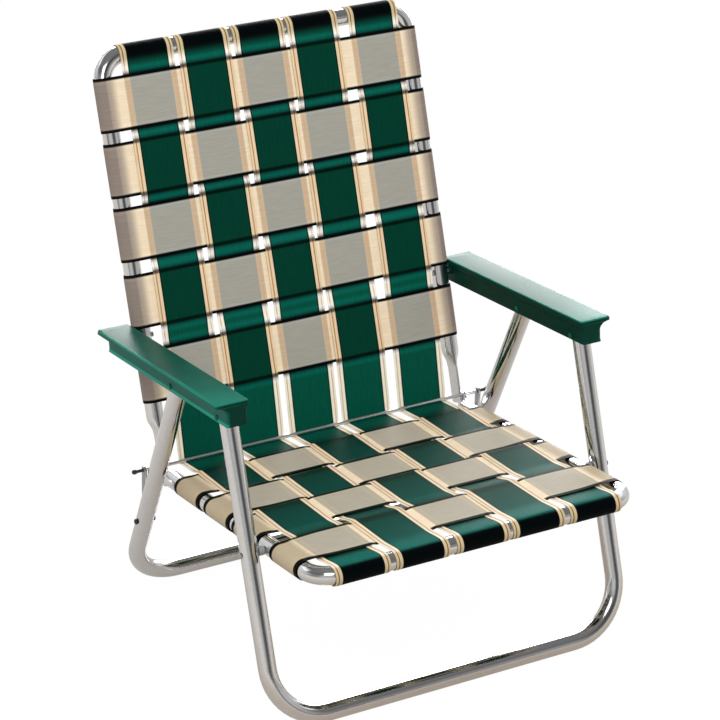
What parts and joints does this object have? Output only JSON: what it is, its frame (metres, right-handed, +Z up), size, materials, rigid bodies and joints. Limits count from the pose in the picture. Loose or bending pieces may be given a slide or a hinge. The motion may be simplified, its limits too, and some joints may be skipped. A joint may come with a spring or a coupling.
{
  "type": "folding lawn chair",
  "caption": "Folding lawn chair with bent aluminium tube frames, woven flat webbing on seat and back, and moulded plastic armrests; the seat folds flat against the back.",
  "frame": {"origin": "middle of the chair's footprint, on the floor it stands on", "axes": "+Z up, -Y towards the front of the seat, +X to the sitter's left as they look out of the chair"},
  "size_m": [0.619, 0.6756, 0.7973],
  "materials": {
    "tube_aluminium": "polished",
    "rivet_aluminium": "satin",
    "rod_steel": "bright",
    "dark_steel": "satin",
    "arm_plastic": "gloss",
    "spacer_plastic": "matte",
    "web_green": "woven",
    "web_tan": "woven"
  },
  "bodies": {
    "rear_legs": {"rear_leg_frame": "tube_aluminium", "left_link_pin": "dark_steel", "right_link_pin": "dark_steel"},
    "arms": {"left_arm": "arm_plastic", "left_arm_back_rivet": "rivet_aluminium", "left_arm_front_rivet": "rivet_aluminium", "left_arm_rear_rivet": "rivet_aluminium", "left_arm_spacer": "arm_plastic", "right_arm": "arm_plastic", "right_arm_back_rivet": "rivet_aluminium", "right_arm_front_rivet": "rivet_aluminium", "right_arm_rear_rivet": "rivet_aluminium", "right_arm_spacer": "arm_plastic"},
    "back": {"back_frame": "tube_aluminium", "back_cross_strap_1": "web_tan", "back_long_strap_1": "web_green", "back_cross_strap_2": "web_tan", "back_long_strap_2": "web_green", "back_cross_strap_3": "web_tan", "back_long_strap_3": "web_green", "back_cross_strap_4": "web_tan", "back_long_strap_4": "web_green", "back_cross_strap_5": "web_tan", "back_long_strap_5": "web_green"},
    "seat": {"left_seat_bolt": "rivet_aluminium", "left_seat_spacer": "spacer_plastic", "right_seat_bolt": "rivet_aluminium", "right_seat_spacer": "spacer_plastic", "seat_frame": "tube_aluminium", "hinge_rod": "rod_steel", "seat_long_strap_1": "web_green", "seat_long_strap_2": "web_green", "seat_long_strap_3": "web_green", "seat_long_strap_4": "web_green", "seat_long_strap_5": "web_green", "seat_cross_strap_1": "web_tan", "seat_cross_strap_2": "web_tan", "seat_cross_strap_3": "web_tan", "seat_cross_strap_4": "web_tan"},
    "front_legs": {"front_leg_frame": "tube_aluminium"},
    "links": {"left_link": "dark_steel", "left_rod_cap": "dark_steel", "right_link": "dark_steel", "right_rod_cap": "dark_steel"}
  },
  "joints": [
    {"name": "arm_turn", "type": "hinge", "parent": "rear_legs", "child": "arms", "pos_m": [0, 0.01241, 0.41], "axis": [-1, 0, 0], "range_deg": [0, 46.34]},
    {"name": "back_turn", "type": "hinge", "parent": "arms", "child": "back", "pos_m": [0, 0.2014, 0.402], "axis": [-1, 0, 0], "range_deg": [-88.01, 0]},
    {"name": "fold", "type": "hinge", "parent": "back", "child": "seat", "pos_m": [0, 0.1404, 0.222], "axis": [-1, 0, 0], "range_deg": [0, 88]},
    {"name": "front_leg_turn", "type": "hinge", "parent": "seat", "child": "front_legs", "pos_m": [0, -0.19125, 0.24252], "axis": [-1, 0, 0], "range_deg": [-88.01, 0]},
    {"name": "link_turn", "type": "hinge", "parent": "rear_legs", "child": "links", "pos_m": [0, 0.1441, 0.14], "axis": [-1, 0, 0], "range_deg": [0, 127.74]}
  ],
  "couplings": [
    {"joint": "arm_turn", "follows": "fold", "ratio": 0.5265},
    {"joint": "back_turn", "follows": "fold", "ratio": -1},
    {"joint": "front_leg_turn", "follows": "fold", "ratio": -1},
    {"joint": "link_turn", "follows": "fold", "ratio": 1.4514}
  ]
}
